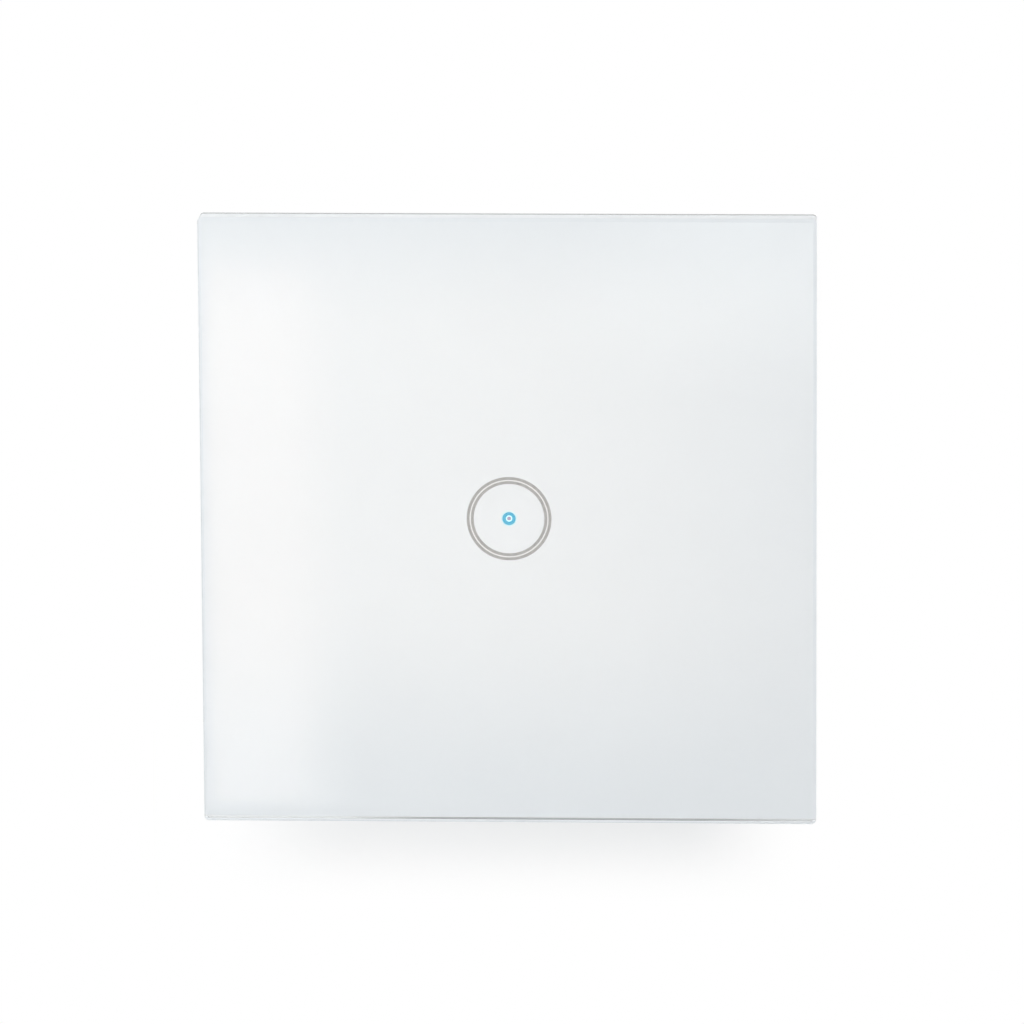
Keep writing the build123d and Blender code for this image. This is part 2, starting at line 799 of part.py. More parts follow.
def terminal_block():
    face = block_face
    body = block(about(0, block_width), (power_board_rear, block_rear), (face, face + block_depth))
    body = chamfer(body.faces().sort_by(Axis.Y)[-1].edges(), block_edge_chamfer)
    middle = pole_z
    for x in pole_places():
        channel_x = about(x, cage_width + 2 * cage_gap)
        channel_z = about(middle, cage_depth + 2 * cage_gap)
        body = body - block(channel_x, (cage_floor_front - cage_gap, channel_rear), channel_z)
        body = body - rod(clamp_screw_radius + clamp_screw_gap, (channel_rear, clamp_head_front), x, middle)
        head_hole = (channel_rear + clamp_ledge, clamp_head_rear + clamp_head_gap)
        body = body - rod(clamp_head_radius + clamp_head_gap, head_hole, x, middle)
        body = body - rod(clamp_head_radius - clamp_lip, (clamp_head_rear, block_rear + overrun), x, middle)
        entry_x = about(x, cage_width - 2 * cage_wall)
        body = body - block(entry_x, (wire_front, tab_front), (face - overrun, middle))
        lead_x = about(x, cage_width - 2 * cage_wall + 2 * entry_lead_width)
        lead_y = (wire_front - entry_lead_width, tab_front + entry_lead_width)
        body = body - block(lead_x, lead_y, (face - overrun, face + entry_lead_depth))
        body = body - terminal_tab(x, tab_gap)
    return body


# Relay. Its coil stands on the board, and its armature tips on the yoke's end.

def relay_base():
    gap = relay_wall + relay_fit_gap
    x = about(relay_x, relay_length - 2 * gap)
    return block(x, (power_board_rear, relay_floor), about(relay_z, relay_width - 2 * gap))


def relay_cover():
    x = about(relay_x, relay_length)
    z = about(relay_z, relay_width)
    body = block(x, (power_board_rear + relay_cover_lift, relay_rear), z)
    rounded = body.edges().filter_by(Axis.Y) + body.faces().sort_by(Axis.Y)[-1].edges()
    body = fillet(rounded, relay_wall / 2)
    inside_x = about(relay_x, relay_length - 2 * relay_wall)
    inside_z = about(relay_z, relay_width - 2 * relay_wall)
    return body - block(inside_x, (power_board_rear, relay_rear - relay_wall), inside_z)


def relay_yoke():
    z = about(relay_z, yoke_width)
    side_x = about(hinge_x, yoke_thickness)
    foot_x = (side_x[0], core_x + core_radius + yoke_thickness)
    body = block(foot_x, (relay_floor, relay_floor + yoke_thickness), z)
    body = body + block(side_x, (relay_floor, yoke_rear), z)
    return body - rod(core_radius + bobbin_fit_gap, (relay_floor, bobbin_front + overrun), core_x, relay_z)


def relay_core():
    body = rod(core_radius, (relay_floor, bobbin_rear), core_x, relay_z)
    return body + rod(pole_radius, (bobbin_rear, pole_rear), core_x, relay_z)


def relay_bobbin():
    tube_radius = core_radius + bobbin_fit_gap + bobbin_wall
    body = rod(tube_radius, (bobbin_front, bobbin_rear), core_x, relay_z)
    x = about(core_x, bobbin_side)
    z = about(relay_z, bobbin_side)
    body = body + block(x, (bobbin_front, bobbin_front + bobbin_flange), z)
    body = body + block(x, (bobbin_rear - bobbin_flange, bobbin_rear), z)
    past = (bobbin_front - overrun, bobbin_rear + overrun)
    return body - rod(core_radius + bobbin_fit_gap, past, core_x, relay_z)


def relay_coil():
    y = (bobbin_front + bobbin_flange, bobbin_rear - bobbin_flange)
    tube_radius = core_radius + bobbin_fit_gap + bobbin_wall
    return rod(bobbin_radius - coil_margin, y, core_x, relay_z) - rod(tube_radius, y, core_x, relay_z)


def relay_armature():
    x = (hinge_x - yoke_thickness / 2, hinge_x + armature_reach)
    return block(x, (armature_front, armature_rear), about(relay_z, armature_width))


def relay_contact_blade():
    x = (hinge_x + yoke_thickness / 2, contact_x + contact_end)
    return block(x, (armature_rear, armature_rear + blade_thickness), about(relay_z, blade_width))


def relay_moving_contact():
    return rod(contact_radius, (moving_contact_front, armature_rear), contact_x, relay_z)


def relay_fixed_contact():
    strip_rear = fixed_contact_rear - contact_height
    z = about(relay_z, blade_width)
    strip_x = about(fixed_strip_x, fixed_strip_thickness)
    body = block(strip_x, (relay_floor, strip_rear), z)
    shelf_x = (contact_x - contact_radius, strip_x[1])
    body = body + block(shelf_x, (strip_rear - fixed_strip_thickness, strip_rear), z)
    return body + rod(contact_radius, (strip_rear, fixed_contact_rear), contact_x, relay_z)


# Transformer, with its winding upright on the board

def transformer_core():
    """Two halves that meet in the middle of the winding."""
    z = about(transformer_z, core_depth)
    past = (z[0] - overrun, z[1] + overrun)
    whole = block(about(transformer_x, core_width), (core_front, core_rear), z)
    for x in about(transformer_x, core_middle_leg + core_window_width):
        whole = whole - block(about(x, core_window_width), (window_front, window_rear), past)
    middle = (window_front + window_rear) / 2
    x = about(transformer_x, core_width + overrun)
    return [whole & block(x, (core_front, middle), past), whole & block(x, (middle, core_rear), past)]


def reel_outline(grow):
    """Width and depth of the winding's space, grown about the middle leg."""
    return core_middle_leg + 2 * reel_gap + 2 * grow, core_depth + 2 * reel_gap + 2 * grow


def upright(size, y):
    return block(about(transformer_x, size[0]), y, about(transformer_z, size[1]))


def transformer_bobbin():
    body = upright(reel_outline(reel_wall), (window_front, window_rear))
    flange_width = core_middle_leg + 2 * core_window_width - 2 * reel_gap
    flange = (flange_width, core_depth + 2 * reel_reach)
    body = body + upright(flange, (window_front, window_front + reel_flange))
    body = body + upright(flange, (window_rear - reel_flange, window_rear))
    rail_middle = core_depth / 2 + reel_gap + reel_rail_width / 2
    for z in about(transformer_z, 2 * rail_middle):
        rail_y = (power_board_rear, window_front + reel_flange)
        body = body + block(about(transformer_x, reel_rail_length), rail_y, about(z, reel_rail_width))
    return body - upright(reel_outline(0), (window_front - overrun, window_rear + overrun))


def transformer_winding():
    y = (window_front + reel_flange, window_rear - reel_flange)
    body = upright(reel_outline(reel_wall + winding_thickness), y)
    body = fillet(body.edges().filter_by(Axis.Y), winding_thickness / 2)
    return body - upright(reel_outline(reel_wall), y)


# Other parts on the power board

def film_capacitor():
    y = (power_board_rear, power_board_rear + film_height)
    body = block(about(film_x, film_length), y, about(film_z, film_width))
    return fillet(body.edges().filter_by(Axis.Y), film_edge_radius)


def smoothing_capacitors():
    cans = []
    for z in about(0, can_spacing):
        can = rod(can_radius, (power_board_rear, power_board_rear + can_height), can_x, z)
        can = fillet(can.faces().sort_by(Axis.Y)[-1].edges(), can_edge_radius)
        groove_y = about(power_board_rear + can_groove_place, can_groove_width)
        groove = rod(can_radius + overrun, groove_y, can_x, z)
        cans.append(can - (groove - rod(can_radius - can_groove_depth, groove_y, can_x, z)))
    return cans


def varistor():
    middle = (varistor_x, power_board_rear + varistor_radius, varistor_z)
    disc = Pos(*middle) * Cylinder(varistor_radius, varistor_thickness)
    disc = fillet(disc.edges().filter_by(GeomType.CIRCLE), varistor_edge_radius)
    foot_y = (power_board_rear, power_board_rear + varistor_radius)
    foot = block(about(varistor_x, varistor_radius), foot_y, about(varistor_z, varistor_thickness / 2))
    return disc + foot


def fuse():
    y = (power_board_rear, power_board_rear + fuse_height)
    body = block(about(fuse_x, fuse_length), y, about(fuse_z, fuse_width))
    return fillet(body.edges().filter_by(Axis.Y), fuse_edge_radius)


def bridge_rectifier():
    y = (power_board_front - rectifier_height, power_board_front)
    return block(about(rectifier_x, rectifier_length), y, about(rectifier_z, rectifier_width))


def power_chip():
    y = (power_board_front - power_chip_height, power_board_front)
    return block(about(power_chip_x, power_chip_length), y, about(power_chip_z, power_chip_width))


pieces = [
    glass_panel, white_back_print, touch_ring_print, panel_adhesive, panel_frame,
    front_cover, case_screws, touch_board, indicator_led, light_guide, touch_spring, touch_chip, touch_board_parts,
    mounting_plate, header_body, header_pins, header_socket,
    insulation_sheet, rear_housing, board_screws, power_board, component_pins, terminal_tabs, terminal_block,
    relay_base, relay_cover, relay_yoke, relay_core, relay_bobbin, relay_coil, relay_armature,
    relay_contact_blade, relay_moving_contact, relay_fixed_contact,
    transformer_core, transformer_bobbin, transformer_winding,
    film_capacitor, smoothing_capacitors, varistor, fuse, bridge_rectifier, power_chip,
]


def save(name, made):
    """Write one node, whether it is one solid or a group of like ones."""
    solids = []
    for shape in made if isinstance(made, list) else [made]:
        solids += shape.solids()
    export_step(solids[0] if len(solids) == 1 else Compound(children=solids), f"parts/{name}.step")


os.makedirs("parts", exist_ok=True)
for piece in pieces:
    save(piece.__name__, piece())
for number, place in enumerate(pole_places(), start=1):
    save(f"terminal_cage_{number}", terminal_cage(place))
    save(f"terminal_screw_{number}", terminal_screw(place))
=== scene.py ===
import math
import bpy
from mathutils import Matrix, Vector


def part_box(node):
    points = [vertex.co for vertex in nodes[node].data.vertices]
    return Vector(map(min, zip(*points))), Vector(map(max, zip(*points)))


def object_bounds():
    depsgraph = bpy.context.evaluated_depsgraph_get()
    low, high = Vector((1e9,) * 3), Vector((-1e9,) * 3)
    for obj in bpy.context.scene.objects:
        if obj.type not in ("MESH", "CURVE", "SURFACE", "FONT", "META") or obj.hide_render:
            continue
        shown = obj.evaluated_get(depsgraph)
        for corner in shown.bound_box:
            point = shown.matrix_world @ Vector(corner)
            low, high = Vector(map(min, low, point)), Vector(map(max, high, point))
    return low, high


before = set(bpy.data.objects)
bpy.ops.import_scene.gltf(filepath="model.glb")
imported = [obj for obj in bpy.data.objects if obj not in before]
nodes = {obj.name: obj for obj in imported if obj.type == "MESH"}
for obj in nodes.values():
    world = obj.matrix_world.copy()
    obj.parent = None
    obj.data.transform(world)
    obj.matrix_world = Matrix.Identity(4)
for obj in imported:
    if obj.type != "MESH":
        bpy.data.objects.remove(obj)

cadLow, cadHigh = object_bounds()
print("frame loaded:", len(nodes), "nodes")

mm = 0.001


# nodes and sockets in short form
def put(tree, kind, sockets=None, **settings):
    node = tree.nodes.new("ShaderNode" + kind)
    for key, value in settings.items():
        setattr(node, key, value)
    for key, value in (sockets or {}).items():
        if isinstance(value, bpy.types.NodeSocket):
            tree.links.new(value, node.inputs[key])
        else:
            node.inputs[key].default_value = value
    return node


def connect(tree, skin, sockets):
    for key, value in sockets.items():
        tree.links.new(value, skin.inputs[key])


def startMaterial(name):
    mat = bpy.data.materials.new(name)
    mat.use_nodes = True
    tree = mat.node_tree
    tree.nodes.clear()
    output = put(tree, "OutputMaterial")
    skin = put(tree, "BsdfPrincipled")
    tree.links.new(skin.outputs[0], output.inputs["Surface"])
    place = put(tree, "TexCoord").outputs["Object"]
    return mat, tree, skin, place


def showShader(tree, shader):
    output = next(n for n in tree.nodes if n.type == "OUTPUT_MATERIAL")
    tree.links.new(shader.outputs[0], output.inputs["Surface"])


def maths(tree, operation, a, b=0.0):
    return put(tree, "Math", {0: a, 1: b}, operation=operation).outputs[0]


def times(tree, first, *others):
    for other in others:
        first = maths(tree, "MULTIPLY", first, other)
    return first


def sizeOf(tree, value):
    return maths(tree, "ABSOLUTE", value)


def split(tree, vector):
    return put(tree, "SeparateXYZ", {0: vector}).outputs


def mixed(tree, factor, a, b):
    node = put(tree, "Mix", data_type="RGBA")
    for index, value in ((0, factor), (6, a), (7, b)):
        if isinstance(value, bpy.types.NodeSocket):
            tree.links.new(value, node.inputs[index])
        else:
            node.inputs[index].default_value = value
    return node.outputs[2]


def mixedShader(tree, factor, first, second):
    return put(tree, "MixShader", {0: factor, 1: first.outputs[0], 2: second.outputs[0]})


def noise(tree, place, size, detail=3.0, rough=0.5, stretch=None):
    if stretch:
        place = put(tree, "Mapping", {"Vector": place, "Scale": stretch}).outputs[0]
    sockets = {"Vector": place, "Scale": 1 / size, "Detail": detail, "Roughness": rough}
    return put(tree, "TexNoise", sockets).outputs[0]


def cellsOf(tree, place, size, **sockets):
    return put(tree, "TexVoronoi", {"Vector": place, "Scale": 1 / size, **sockets})


# low where the value is at fromLow, high where it is at fromHigh
def between(tree, value, low, high, fromLow=0.0, fromHigh=1.0, smooth=False):
    kind = "SMOOTHSTEP" if smooth else "LINEAR"
    sockets = {"Value": value, "From Min": fromLow, "From Max": fromHigh, "To Min": low, "To Max": high}
    return put(tree, "MapRange", sockets, interpolation_type=kind).outputs[0]


def bumpy(tree, skin, height, strength, depth, normal=None):
    sockets = {"Height": height, "Strength": strength, "Distance": depth}
    if normal is not None:
        sockets["Normal"] = normal
    connect(tree, skin, {"Normal": put(tree, "Bump", sockets).outputs[0]})


def rayIs(tree, path, *kinds):
    seen = path.outputs[kinds[0]]
    for kind in kinds[1:]:
        seen = maths(tree, "MAXIMUM", seen, path.outputs[kind])
    return seen


def radiusFromAxis(tree, place):
    apart = split(tree, place)
    flat = put(tree, "CombineXYZ", {"X": apart["X"], "Z": apart["Z"]})
    return put(tree, "VectorMath", {0: flat.outputs[0]}, operation="LENGTH").outputs["Value"]


edgeLeanLook = {"samples": 4, "leanRange": (0.75, 0.98)}


def edgeLean(tree, radius):
    # how far the rounded normal leans away from the flat one
    rounded = put(tree, "Bevel", {"Radius": radius}, samples=edgeLeanLook["samples"]).outputs[0]
    flat = put(tree, "NewGeometry").outputs["Normal"]
    lean = put(tree, "VectorMath", {0: rounded, 1: flat}, operation="DOT_PRODUCT").outputs["Value"]
    return rounded, between(tree, lean, 1.0, 0.0, *edgeLeanLook["leanRange"])


def rgb(*values):
    return (*values, 1.0)


def shade(colour, factor):
    return (*[min(1.0, c * factor) for c in colour[:3]], 1.0)


def shades(colour, factors):
    return [shade(colour, factor) for factor in factors]


# finish of moulded plastic; each look further down names only what differs from it
plasticBase = {
    "cloudSize": 9 * mm, "cloudDetail": 2.0, "cloudShades": (0.965, 1.03),
    "grainSize": 0.22 * mm, "grainDetail": 4.0, "grainRough": 0.6,
    "grainDepth": 0.03 * mm, "grainStrength": 0.7, "sink": 1.0,
    "speck": 0.18, "speckRange": (0.66, 0.74), "speckShade": 0.8,
    "edgeRadius": 0.12 * mm, "edgeLight": 0.35, "edgeShade": 1.25, "edgeGloss": 0.08,
    "rough": 0.42, "roughSpread": (-0.05, 0.06), "ior": 1.49,
}


def mouldedPlastic(name, look):
    mat, tree, skin, place = startMaterial(name)
    cloud = noise(tree, place, look["cloudSize"], look["cloudDetail"])
    grain = noise(tree, place, look["grainSize"], look["grainDetail"], look["grainRough"])
    rounded, edge = edgeLean(tree, look["edgeRadius"])
    colour = mixed(tree, cloud, *shades(look["colour"], look["cloudShades"]))
    specks = times(tree, between(tree, grain, 0.0, 1.0, *look["speckRange"]), look["speck"])
    colour = mixed(tree, specks, colour, shade(look["colour"], look["speckShade"]))
    # lighter along the edges
    edgeLighter = times(tree, edge, look["edgeLight"])
    colour = mixed(tree, edgeLighter, colour, shade(look["colour"], look["edgeShade"]))
    matt = between(tree, cloud, *[look["rough"] + more for more in look["roughSpread"]])
    rough = maths(tree, "SUBTRACT", matt, times(tree, edge, look["edgeGloss"]))
    connect(tree, skin, {"Base Color": colour, "Roughness": rough})
    height = maths(tree, "ADD", grain, times(tree, cloud, look["sink"]))
    bumpy(tree, skin, height, look["grainStrength"], look["grainDepth"], rounded)
    skin.inputs["IOR"].default_value = look["ior"]
    return mat


# finish of rolled and plated metal, used in the same way
metalBase = {
    "cloudSize": 7 * mm, "cloudDetail": 3.0, "cloudRough": 0.6,
    "spangleSize": 1.5 * mm, "spangleDepth": 0.1, "spangleShade": 0.6, "spangleMatt": 0.07,
    "rollSize": 0.35 * mm, "rollDetail": 4.0, "rollRough": 0.6, "rollStretch": (1, 1, 0.06),
    "rollDepth": 0.02 * mm, "rollStrength": 0.6, "rollRange": (0.25, 0.75),
    "pitScale": 2.2, "pitDetail": 2.0, "pitRange": (0.68, 0.8), "pitShare": 0.3, "pitShade": 0.55,
    "edgeRadius": 0.1 * mm, "edgeLight": 0.45, "edgeShade": 1.22,
    "rough": 0.34, "roughSpread": (-0.1, 0.14), "cloudMatt": 0.05,
}


def platedMetal(name, look):
    mat, tree, skin, place = startMaterial(name)
    tarnish = noise(tree, place, look["cloudSize"], look["cloudDetail"], look["cloudRough"])
    spangle = split(tree, cellsOf(tree, place, look["spangleSize"]).outputs["Color"])["X"]
    stretch = look["rollStretch"]
    roll = noise(tree, place, look["rollSize"], look["rollDetail"], look["rollRough"], stretch)
    rounded, edge = edgeLean(tree, look["edgeRadius"])
    colour = mixed(tree, tarnish, look["colour"], look["tint"])
    # lighter along the edges
    edgeLighter = times(tree, edge, look["edgeLight"])
    colour = mixed(tree, edgeLighter, colour, shade(look["colour"], look["edgeShade"]))
    spots = noise(tree, place, look["rollSize"] * look["pitScale"], look["pitDetail"])
    pits = between(tree, spots, 0.0, look["pitShare"], *look["pitRange"])
    colour = mixed(tree, pits, colour, shade(look["colour"], look["pitShade"]))
    crystals = times(tree, spangle, look["spangleDepth"])
    colour = mixed(tree, crystals, colour, shade(look["tint"], look["spangleShade"]))
    rough = [look["rough"] + more for more in look["roughSpread"]]
    rough = between(tree, roll, *rough, *look["rollRange"])
    uneven = maths(tree, "ADD", times(tree, tarnish, look["cloudMatt"]),
                   times(tree, spangle, look["spangleMatt"]))
    connect(tree, skin, {"Base Color": colour, "Roughness": maths(tree, "ADD", rough, uneven)})
    bumpy(tree, skin, roll, look["rollStrength"], look["rollDepth"], rounded)
    skin.inputs["Metallic"].default_value = 1.0
    return mat


def dress(material, *names):
    for name in names:
        slots = nodes[name].data.materials
        slots.clear()
        slots.append(material)


# a look with a tint is a metal, any other a plastic
def dressAll(looks):
    for name, look in looks.items():
        make, base = (platedMetal, metalBase) if "tint" in look else (mouldedPlastic, plasticBase)
        dress(make(name, {**base, **look}), *look["pieces"])


# the glass panel
glassLook = {
    "tint": rgb(0.995, 0.999, 0.998),
    "ior": 1.52,
    "smearSize": 14 * mm, "smearDetail": 3.0, "smearRough": 0.55,
    "smearRange": (0.35, 0.8), "haze": 0.012,
    "bevelNormal": math.sqrt(0.5), "groundRange": (0.1, 0.25), "groundRough": 0.05,
    "waveSize": 30 * mm, "waveDetail": 1.0, "waveStrength": 0.2, "waveDepth": 0.01 * mm,
    "sideRange": (0.3, 0.5), "sideDepth": 0.2 * mm,
    "shadeLineColour": rgb(0.04, 0.045, 0.045), "shadeLineWidth": 1.25 * mm, "shadeLineStart": 0.6,
    "arrisShadeColour": rgb(0.78, 0.79, 0.79), "arrisWidth": 0.16 * mm, "arrisStart": 0.6,
    "arrisRange": (0.1, 0.2),
    "paintedHalf": 39.8 * mm, "rearNormal": 0.95, "rearDepth": 0.5 * mm,
    "rimNormal": 0.5, "rimDepth": 0.2 * mm, "rimShadeColour": rgb(0.47, 0.48, 0.49),
    "rimFade": (-39.9 * mm, -39.84 * mm), "rimLitColour": rgb(0.9, 0.91, 0.92),
    "footStart": (-27 * mm, -8 * mm), "footEnd": (26 * mm, 37 * mm), "footEndShare": 0.4,
    "shadowTint": rgb(0.985, 0.99, 0.99),
}


def clearGlass(look):
    mat, tree, skin, place = startMaterial("clear glass")
    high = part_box("glass_panel")[1]
    apart = split(tree, place)
    fromRear = maths(tree, "SUBTRACT", high.y, apart["Y"])
    facing = sizeOf(tree, split(tree, put(tree, "NewGeometry").outputs["True Normal"])["Y"])
    # the bevels are finely ground, the faces and the four narrow sides are polished
    slanted = sizeOf(tree, maths(tree, "SUBTRACT", facing, look["bevelNormal"]))
    ground = between(tree, slanted, look["groundRough"], 0.0, *look["groundRange"])
    smear = noise(tree, place, look["smearSize"], look["smearDetail"], look["smearRough"])
    haze = between(tree, smear, 0.0, look["haze"], *look["smearRange"])
    wave = noise(tree, place, look["waveSize"], look["waveDetail"])
    bumpy(tree, skin, wave, look["waveStrength"], look["waveDepth"])
    # painted shade: a dark line runs along the rear of the upper and left sides, and is left out at the
    # foot and at the right side
    onSide = between(tree, facing, 1.0, 0.0, *look["sideRange"])
    shadeLineStart = look["shadeLineWidth"] * look["shadeLineStart"]
    paintedShadeLine = times(tree, onSide, between(tree, fromRear, 1.0, 0.0, shadeLineStart, look["shadeLineWidth"]))
    atFoot = maths(tree, "LESS_THAN", apart["Z"], look["sideDepth"] - high.z)
    atRight = maths(tree, "GREATER_THAN", apart["X"], high.x - look["sideDepth"])
    paintedShadeLine = times(tree, paintedShadeLine, maths(tree, "SUBTRACT", 1.0, maths(tree, "MAXIMUM", atFoot, atRight)))
    colour = mixed(tree, paintedShadeLine, look["tint"], look["shadeLineColour"])
    # painted shade: a fine darker line where the bevels meet the left and lower sides
    reach = times(tree, maths(tree, "MINIMUM", apart["X"], apart["Z"]), -1.0)
    arrisEnds = (high.x - look["arrisWidth"], high.x - look["arrisWidth"] * look["arrisStart"])
    onBevel = between(tree, slanted, 1.0, 0.0, *look["arrisRange"])
    arrisShade = times(tree, between(tree, reach, 0.0, 1.0, *arrisEnds), onBevel)
    colour = mixed(tree, arrisShade, colour, look["arrisShadeColour"])
    connect(tree, skin, {"Base Color": colour, "Roughness": maths(tree, "ADD", haze, ground)})
    skin.inputs["IOR"].default_value = look["ior"]
    skin.inputs["Transmission Weight"].default_value = 1.0
    # the paint is bonded to the rear face, so light passes there without bending
    onRear = maths(tree, "GREATER_THAN", facing, look["rearNormal"])
    onRear = times(tree, onRear, maths(tree, "LESS_THAN", fromRear, look["rearDepth"]))
    for axis in ("X", "Z"):
        offAxis = sizeOf(tree, apart[axis])
        onRear = times(tree, onRear, maths(tree, "LESS_THAN", offAxis, look["paintedHalf"]))
    bonded = put(tree, "BsdfRefraction", {"Color": look["tint"], "Roughness": 0.0, "IOR": 1.0})
    clear = mixedShader(tree, onRear, skin, bonded)
    # painted shade and painted light: the rear rim of the lower side is painted dark grey in the middle and
    # white towards both ends
    span = times(tree, between(tree, apart["X"], 0.0, 1.0, *look["footStart"], True),
                 between(tree, apart["X"], 1.0, look["footEndShare"], *look["footEnd"], True))
    onRim = times(tree, maths(tree, "LESS_THAN", apart["Z"], -look["paintedHalf"]),
                  maths(tree, "LESS_THAN", fromRear, look["rimDepth"]),
                  maths(tree, "GREATER_THAN", facing, look["rimNormal"]))
    rimShadeShare = times(tree, span, between(tree, apart["Z"], 1.0, 0.0, *look["rimFade"]))
    paintedRim = put(tree, "BsdfDiffuse", {"Color": mixed(tree, rimShadeShare, look["rimLitColour"], look["rimShadeColour"])})
    clear = mixedShader(tree, onRim, clear, paintedRim)
    # lamps and bounced light shine straight through
    through = put(tree, "BsdfTransparent", {"Color": look["shadowTint"]})
    straight = rayIs(tree, put(tree, "LightPath"), "Is Shadow Ray", "Is Diffuse Ray")
    showShader(tree, mixedShader(tree, straight, clear, through))
    return mat


# the paint behind the glass, a little darker between the two printed lines
paintLook = {
    "colour": rgb(0.882, 0.905, 0.936),
    "cloudSize": 22 * mm, "cloudDetail": 2.0, "cloudShades": (0.99, 1.01),
    "stippleSize": 0.5 * mm, "stippleDetail": 3.0, "stippleStrength": 0.1, "stippleDepth": 0.01 * mm,
    "gapColour": rgb(0.87, 0.88, 0.885), "gapRadius": 5.07 * mm, "gapHalf": 0.14 * mm, "gapStart": 0.5,
    "haloColour": rgb(0.62, 0.96, 1.0), "haloShare": 0.9, "haloRadii": (0.86 * mm, 1.14 * mm),
    "roughEnds": (0.3, 0.42),
    "gloss": 0.12,  # it is bonded to the glass
}


def whitePaint(look):
    mat, tree, skin, place = startMaterial("white paint")
    cloud = noise(tree, place, look["cloudSize"], look["cloudDetail"])
    stipple = noise(tree, place, look["stippleSize"], look["stippleDetail"])
    colour = mixed(tree, cloud, *shades(look["colour"], look["cloudShades"]))
    radius = radiusFromAxis(tree, place)
    fromGap = sizeOf(tree, maths(tree, "SUBTRACT", radius, look["gapRadius"]))
    inGap = between(tree, fromGap, 1.0, 0.0, look["gapHalf"] * look["gapStart"], look["gapHalf"])
    colour = mixed(tree, inGap, colour, look["gapColour"])
    # light from the dot bleeds a little into the paint round the window
    halo = between(tree, radius, look["haloShare"], 0.0, *look["haloRadii"])
    colour = mixed(tree, halo, colour, look["haloColour"])
    connect(tree, skin, {"Base Color": colour, "Roughness": between(tree, stipple, *look["roughEnds"])})
    skin.inputs["Specular IOR Level"].default_value = look["gloss"]
    bumpy(tree, skin, stipple, look["stippleStrength"], look["stippleDepth"])
    return mat


# the two printed lines
inkLook = {
    "colour": rgb(0.28, 0.28, 0.288), "thin": rgb(0.51, 0.51, 0.52),
    "dotSize": 0.16 * mm, "dotRandom": 0.8, "dotCover": 0.55, "dotRange": (0.1, 0.7),
    "patchSize": 0.5 * mm, "patchDetail": 3.0, "patchRough": 0.65,
    "patchCover": (-0.25, 0.35), "patchRange": (0.3, 0.7), "roughEnds": (0.4, 0.6),
}


def greyInk(look):
    mat, tree, skin, place = startMaterial("grey ink")
    dots = cellsOf(tree, place, look["dotSize"], Randomness=look["dotRandom"]).outputs[0]
    patch = noise(tree, place, look["patchSize"], look["patchDetail"], look["patchRough"])
    cover = maths(tree, "ADD", between(tree, dots, 0.0, look["dotCover"], *look["dotRange"]),
                  between(tree, patch, *look["patchCover"], *look["patchRange"]))
    connect(tree, skin, {"Base Color": mixed(tree, cover, look["colour"], look["thin"]),
                         "Roughness": between(tree, patch, *look["roughEnds"])})
    return mat


# the lit dot in the window
dotLook = {
    "ring": rgb(0.0, 0.31, 0.49), "core": rgb(0.62, 0.97, 1.0), "die": rgb(0.29, 0.25, 0.37),
    "rim": rgb(0.7, 0.78, 0.82), "off": rgb(0, 0, 0),
    "coreRadius": 0.41 * mm, "dieRadius": 0.275 * mm, "edge": 0.05 * mm,
    "rippleSize": 0.35 * mm, "rippleDetail": 2.0, "ripple": 0.03 * mm,
    "strength": 1.25, "spillEnd": 0.1, "spillRadii": (1.0 * mm, 2.4 * mm), "unlit": 0.05,
    "frostSize": 0.3 * mm, "roughEnds": (0.3, 0.5), "ior": 1.49, "gloss": 0.1,
}


def litGuide(look):
    mat, tree, skin, place = startMaterial("lit guide")
    swing = maths(tree, "SUBTRACT", noise(tree, place, look["rippleSize"], look["rippleDetail"]), 0.5)
    radius = maths(tree, "ADD", radiusFromAxis(tree, place), times(tree, swing, look["ripple"]))
    colour = look["ring"]
    for part in ("core", "die"):
        end = look[part + "Radius"]
        inside = between(tree, radius, 1.0, 0.0, end - look["edge"], end + look["edge"], True)
        colour = mixed(tree, inside, colour, look[part])
    spill = between(tree, radius, 1.0, look["spillEnd"], *look["spillRadii"], True)
    front = mixed(tree, look["unlit"], look["off"], colour)
    frost = noise(tree, place, look["frostSize"])
    connect(tree, skin, {
        "Base Color": mixed(tree, spill, look["rim"], front),
        "Emission Color": colour,
        "Emission Strength": times(tree, spill, look["strength"]),
        "Roughness": between(tree, frost, *look["roughEnds"]),
    })
    skin.inputs["IOR"].default_value = look["ior"]
    skin.inputs["Specular IOR Level"].default_value = look["gloss"]
    return mat


# the tape that holds the glass in its frame
foamLook = {
    "cellSize": 0.25 * mm, "colours": (rgb(0.72, 0.72, 0.7), rgb(0.86, 0.86, 0.84)),
    "strength": 0.6, "depth": 0.03 * mm, "roughEnds": (0.6, 0.85),
}


def foamTape(look):
    mat, tree, skin, place = startMaterial("foam tape")
    cells = cellsOf(tree, place, look["cellSize"]).outputs[0]
    connect(tree, skin, {"Base Color": mixed(tree, cells, *look["colours"]),
                         "Roughness": between(tree, cells, *look["roughEnds"])})
    bumpy(tree, skin, cells, look["strength"], look["depth"])
    return mat


